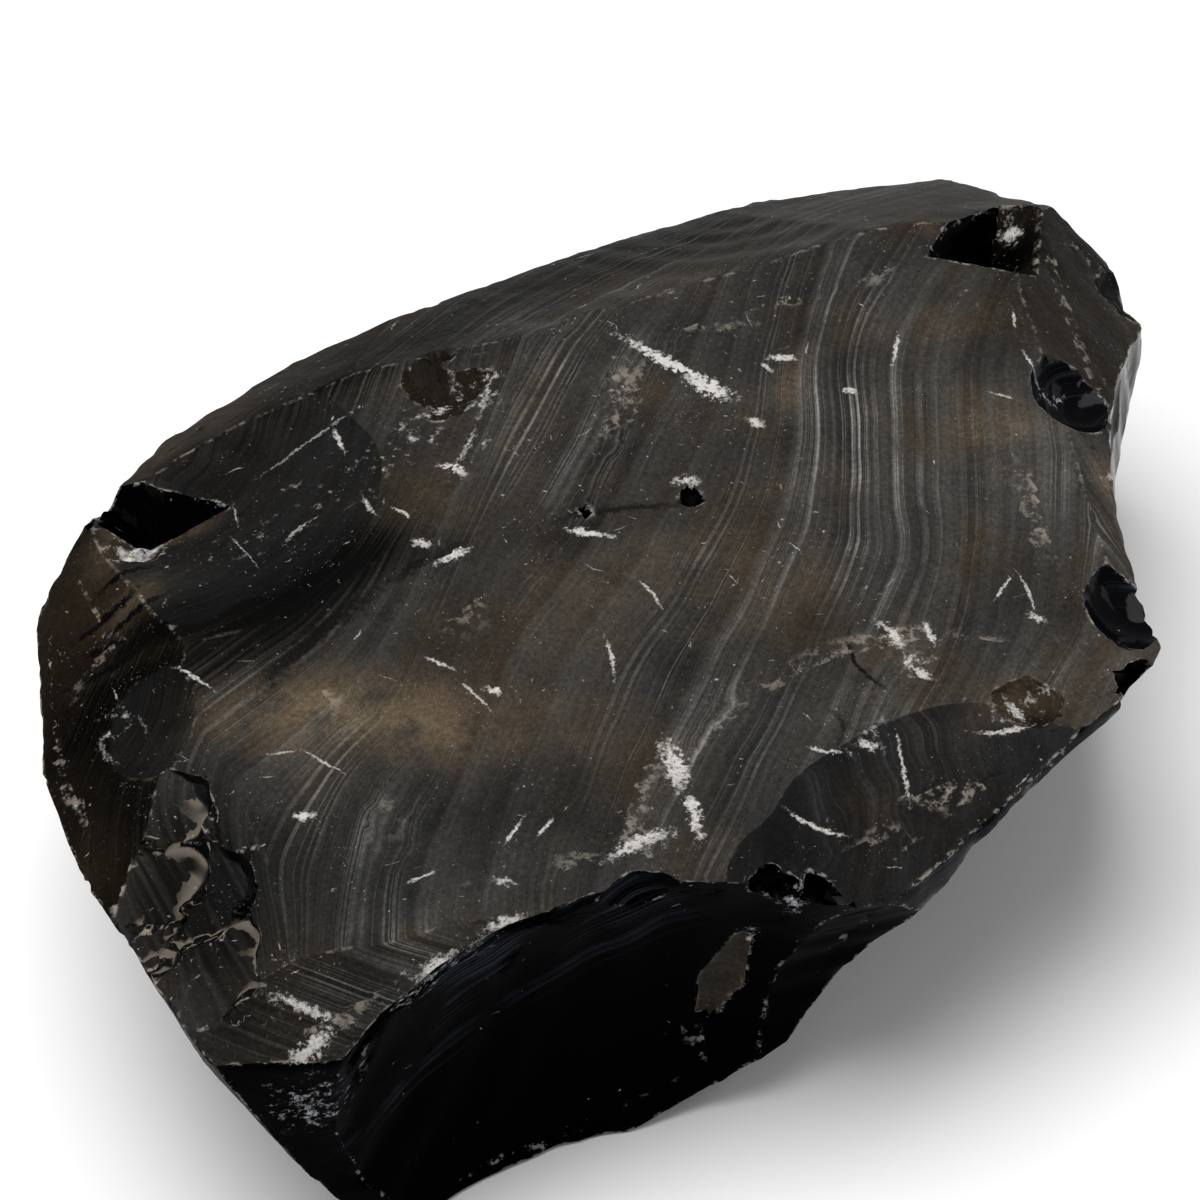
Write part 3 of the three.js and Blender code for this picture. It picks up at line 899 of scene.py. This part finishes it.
def weathered(name, ground, bloom, brown, line, line_strength, specular):
    """Brown-grey glass with flow bands, patches, bruises and pale edges."""
    r = Recipe(name)
    where = r.place()
    level, _ = r.attribute("layer")
    beyond, _ = r.attribute("beyond")
    _, (tan, painted_shading, band) = r.attribute("patches")
    _, (edge_away, crush_and_glint, sharp) = r.attribute("wear_and_glint")
    _, (tone, stepped, _) = r.attribute("face")

    # the glass itself: mottled, banded and tan where it is thin over a flaw
    mottle = r.noise(where, 0.05, 4.0, 0.62)
    cast = r.spread(r.noise(where, 0.032, 3.0, 0.6), 0.36, 0.64, 0.70, 1.20)
    colour = r.mix(r.spread(mottle, 0.38, 0.62), ground, brown)
    colour = r.mix(r.spread(r.strata(level, 0.5, 3.0), 0.34, 0.70, 0.08, 0.72), colour, bloom)
    blotch = r.spread(r.noise(where, 0.12, 5.0, 0.6), 0.28, 0.62)
    colour = r.mix(r.times(tan, blotch), colour, CRUST_TAN)

    # flow lines: hairs where the noise crosses its middle, and softer streaks between them
    thread = r.hairline(level, 2.4, 1.5)
    strong = r.spread(r.strata(r.maths("ADD", level, 31.7), 0.8, 1.0), 0.40, 0.66)
    hair = r.times(r.spread(thread, 0.045, 0.004), r.times(strong, 0.85))
    streak = r.spread(r.strata(level, 1.7, 3.0), 0.50, 0.74, 0.0, 0.45)
    silk = r.strata(level, 9.0, 3.0)
    uneven = r.spread(r.noise(where, 0.09, 4.0), 0.32, 0.62, 0.25, 1.0)
    lines = r.times(r.maths("ADD", hair, streak), r.times(uneven, r.times(band, line_strength)))
    colour = r.mix(r.maths("MINIMUM", lines, 1.0), colour, line)

    # shade: grain, silk, tone of the scar, and the painted shade of the dark patches streaked along the flow
    grain = r.times(r.spread(r.noise(where, 1.3, 4.0, 0.75), 0.3, 0.7, 0.72, 1.30),
                    r.spread(r.noise(where, 5.0, 1.0), 0.25, 0.75, 0.80, 1.20))
    sheen = r.times(r.spread(silk, 0.25, 0.75, -0.18, 0.18), r.spread(band, 0.0, 0.7, 0.35, 1.0))
    shade = r.times(r.times(grain, cast), r.maths("ADD", 1.0, sheen))
    streaked_shading = r.times(painted_shading, r.spread(r.strata(level, 2.6, 3.0), 0.30, 0.70, 0.85, 0.50))
    shade = r.times(r.times(shade, tone), r.maths("SUBTRACT", 1.0, r.maths("MINIMUM", streaked_shading, 0.93)))
    grey = r.node("ShaderNodeCombineXYZ", {0: shade, 1: shade, 2: shade}).outputs[0]
    colour = r.mix(1.0, colour, grey, "MULTIPLY")

    # steps: a riser painted black as shade, then at its foot a pale torn ledge, partly painted light
    riser = r.times(r.spread(beyond, 0.30, -0.05), stepped)
    torn = r.maths("ADD", beyond, r.spread(r.noise(where, 0.30, 3.0), 0.25, 0.75, -2.4, 2.4))
    torn_and_lit_ledge = r.times(r.spread(beyond, 0.05, 0.40), r.spread(torn, 2.0, 1.5))
    torn_and_lit_ledge = r.times(r.times(torn_and_lit_ledge, stepped), r.spread(r.noise(where, 0.10, 2.0), 0.40, 0.47))
    torn_and_lit_ledge = r.times(torn_and_lit_ledge, r.spread(beyond, 3.0, 0.4, 0.25, 1.0))
    colour = r.mix(r.times(riser, 0.9), colour, RISER_SHADE)
    colour = r.mix(r.times(torn_and_lit_ledge, 0.9), colour, LEDGE_TORN_AND_LIT)

    # bruises, crushed glass with painted glints, painted shade in cracks, and worn edges
    white, crack_shade = draw_bruises(r, where)
    crushed_and_glints = r.maths("ADD", r.noise(where, 0.42, 6.0, 0.72), r.times(crush_and_glint, 0.13))
    crushed_and_glints = r.times(r.spread(crushed_and_glints, 0.62, 0.80, 0.0, 0.95), r.spread(crush_and_glint, 0.05, 0.5))
    worn = r.times(r.spread(edge_away, 0.55, 0.05), r.spread(r.noise(where, 0.55, 4.0, 0.7), 0.48, 0.62))
    worn = r.times(r.times(worn, sharp), 0.6)
    dust = r.spread(r.noise(where, 0.11, 3.0, 0.6), 0.40, 0.68, 0.0, 0.09)
    specks = r.maths("ADD", r.noise(where, 2.1, 2.0, 0.8), dust)
    specks = r.spread(specks, 0.725, 0.84, 0.0, 0.55)
    marks = r.maths("MAXIMUM", r.maths("MAXIMUM", white, crushed_and_glints), specks)
    colour = r.mix(crack_shade, colour, CRACK_SHADE)
    colour = r.mix(worn, colour, WORN_PALE)
    colour = r.mix(marks, colour, BRUISE_AND_GLINT_WHITE)
    r.feed(r.shader.inputs["Base Color"], colour)

    rough = r.maths("ADD", r.spread(mottle, 0.3, 0.7, 0.36, 0.50), r.times(marks, 0.25))
    r.feed(r.shader.inputs["Roughness"], rough)
    r.shader.inputs["Specular IOR Level"].default_value = specular
    soft = r.bump(r.noise(where, 0.32, 4.0, 0.55), 0.5, 0.35)
    fine = r.maths("SUBTRACT", r.maths("ADD", r.times(silk, 0.3), marks), r.times(crack_shade, 3.0))
    r.feed(r.shader.inputs["Normal"], r.bump(fine, 0.12, 0.6, soft))
    return r.material


finishes = {
    "weathered": weathered("weathered_glass", ground=(0.0122, 0.0120, 0.0115), bloom=(0.0325, 0.0312, 0.0284),
                           brown=(0.0230, 0.0170, 0.0112), line=(0.165, 0.162, 0.153), line_strength=1.0,
                           specular=0.025),
    # the same glass painted darker, as shade on the scars that tilt away from the light
    "shaded_slate": weathered("shaded_slate_glass", ground=(0.0034, 0.0034, 0.0036), bloom=(0.0106, 0.0106, 0.0109),
                       brown=(0.0062, 0.0053, 0.0042), line=(0.060, 0.061, 0.064), line_strength=0.7,
                       specular=0.05),
    "brown": weathered("brown_glass", ground=(0.0042, 0.0034, 0.0026), bloom=(0.0100, 0.0082, 0.0062),
                       brown=(0.0130, 0.0085, 0.0048), line=(0.060, 0.048, 0.034), line_strength=1.0,
                       specular=0.012),
}
print("weathered finishes made")

# %% [markdown]
# ## Fresh glass
# A fresh scar is black and mirror smooth. Only the layers, a few bruises and painted glints show on
# it, in a cold blue grey. The long front scar and the right end are the blackest, and their glass
# is called jet.

# %% The black scars
# bruises, crushed glass and painted glints on black glass
BRUISE_AND_GLINT_COLD = (0.42, 0.43, 0.46)


def glass(name, ground, streak_colour, specular, rise, low, ends, front):
    """Black glass with faint blue streaks just under the rim: the streaks climb by `rise` for
    each mm along X, start where z - rise * x passes `low`, and lie between two `ends` in X and
    before `front` in Y."""
    r = Recipe(name)
    where = r.place()
    level, _ = r.attribute("layer")
    _, (edge_away, crush_and_glint, sharp) = r.attribute("wear_and_glint")
    x, y, z = r.node("ShaderNodeSeparateXYZ", {0: where}).outputs
    height = r.maths("ADD", z, r.times(x, -rise))
    drift = r.maths("ADD", height, r.times(r.noise(where, 0.03, 2.0), 9.0))
    streaks = r.spread(r.strata(drift, 0.9, 4.0), 0.52, 0.78)
    thread = r.hairline(drift, 0.8, 2.0)
    streaks = r.maths("ADD", r.times(streaks, 0.7), r.spread(thread, 0.03, 0.004))
    there = r.times(r.spread(height, low, low + 12.0), r.spread(r.noise(where, 0.07, 4.0), 0.40, 0.60))
    there = r.times(there, r.spread(y, front + 4.0, front - 4.0))
    there = r.times(there, r.times(r.spread(x, ends[0] - 4.0, ends[0] + 4.0),
                                   r.spread(x, ends[1] + 6.0, ends[1] - 6.0)))
    colour = r.mix(r.maths("MINIMUM", r.times(streaks, there), 1.0), ground, streak_colour)
    white, _ = draw_bruises(r, where)
    # crushed white glass, and painted glints where the crush patches lie
    crushed_and_glints = r.maths("ADD", r.noise(where, 0.7, 5.0, 0.75), r.times(crush_and_glint, 0.15))
    crushed_and_glints = r.times(r.spread(crushed_and_glints, 0.62, 0.78), r.spread(crush_and_glint, 0.1, 0.6))
    worn = r.times(r.spread(edge_away, 0.5, 0.05), r.spread(r.noise(where, 0.6, 4.0, 0.7), 0.52, 0.62))
    marks = r.maths("MAXIMUM", white, r.maths("MAXIMUM", crushed_and_glints, r.times(r.times(worn, sharp), 0.5)))
    colour = r.mix(r.times(marks, 0.85), colour, BRUISE_AND_GLINT_COLD)
    r.feed(r.shader.inputs["Base Color"], colour)
    r.feed(r.shader.inputs["Roughness"], r.maths("ADD", 0.10, r.times(marks, 0.4)))
    r.shader.inputs["Specular IOR Level"].default_value = specular
    soft = r.bump(r.noise(where, 0.16, 2.0), 0.6, 0.3)
    r.feed(r.shader.inputs["Normal"], r.bump(r.strata(level, 2.0, 2.0), 0.05, 0.4, soft))
    return r.material


finishes["fresh"] = glass("fresh_glass", (0.0012, 0.0013, 0.0018), (0.0120, 0.0140, 0.0190), specular=0.06,
                          rise=0.04, low=20.0, ends=(-200, 200), front=200)
finishes["jet"] = glass("jet_glass", (0.0002, 0.0002, 0.0003), (0.0260, 0.0290, 0.0430), specular=0.005,
                        rise=0.42, low=47.0, ends=(-82, -28), front=-36)
for finish in FINISHES:
    mesh.materials.append(finishes[finish])
print(len(mesh.materials), "finishes on the stone")

# %% [markdown]
# ## Floor, light and camera
# A plain pale floor, a large soft light over the stone and two weaker ones at the sides, and a
# white world that fills the shadows. The camera looks down on the upper face from the front left,
# through a long lens.

# %% Floor
floor_mesh = bpy.data.meshes.new("floor")
FLOOR = 6.0
floor_mesh.from_pydata([(-FLOOR, -FLOOR, 0), (FLOOR, -FLOOR, 0), (FLOOR, FLOOR, 0), (-FLOOR, FLOOR, 0)], [],
                       [(0, 1, 2, 3)])
floor = bpy.data.objects.new("floor", floor_mesh)
bpy.context.scene.collection.objects.link(floor)
paint = Recipe("pale_floor")
paint.shader.inputs["Base Color"].default_value = (0.86, 0.86, 0.86, 1)
paint.shader.inputs["Roughness"].default_value = 0.9
paint.shader.inputs["Specular IOR Level"].default_value = 0.1
floor_mesh.materials.append(paint.material)
print("floor", 2 * FLOOR, "m square")

# %% Lights
from mathutils import Vector


def softbox(name, place, aim, size, power):
    """A square area light at a place, turned to face a point."""
    light = bpy.data.lights.new(name, "AREA")
    light.shape = "SQUARE"
    light.size = size
    light.energy = power
    made = bpy.data.objects.new(name, light)
    made.location = place
    made.rotation_euler = (Vector(aim) - Vector(place)).to_track_quat("-Z", "Y").to_euler()
    bpy.context.scene.collection.objects.link(made)


HEART = (0, 0, 0.03)                    # the middle of the stone, which every light faces
softbox("top_light", (-0.25, 0.25, 1.5), HEART, size=1.2, power=26)
softbox("left_light", (-1.3, 0.2, 0.8), HEART, size=0.8, power=4.5)
softbox("right_light", (1.2, -0.5, 0.9), HEART, size=0.8, power=4)
world = bpy.data.worlds.new("studio")
world.use_nodes = True
world.node_tree.nodes["Background"].inputs["Color"].default_value = (1, 1, 1, 1)
world.node_tree.nodes["Background"].inputs["Strength"].default_value = 0.30
bpy.context.scene.world = world
bpy.context.scene.view_settings.view_transform = "Standard"
print("lights set")

# %% Camera
AIM = (np.array([0.0, 0.0, 40.0]) - MIDDLE) * MM
AWAY = 0.600                            # metres from the point that the camera faces
CAMERA_BEARING, CAMERA_LIFT = -120, 45  # degrees, as for a scar
camera_data = bpy.data.cameras.new("camera")
camera_data.lens = 120
camera_data.sensor_width = 36
camera = bpy.data.objects.new("camera", camera_data)
camera.location = AIM + facing(CAMERA_BEARING, CAMERA_LIFT) * AWAY
camera.rotation_euler = (Vector(AIM) - camera.location).to_track_quat("-Z", "Y").to_euler()
bpy.context.scene.collection.objects.link(camera)
bpy.context.scene.camera = camera
print("camera", [round(value, 3) for value in camera.location])
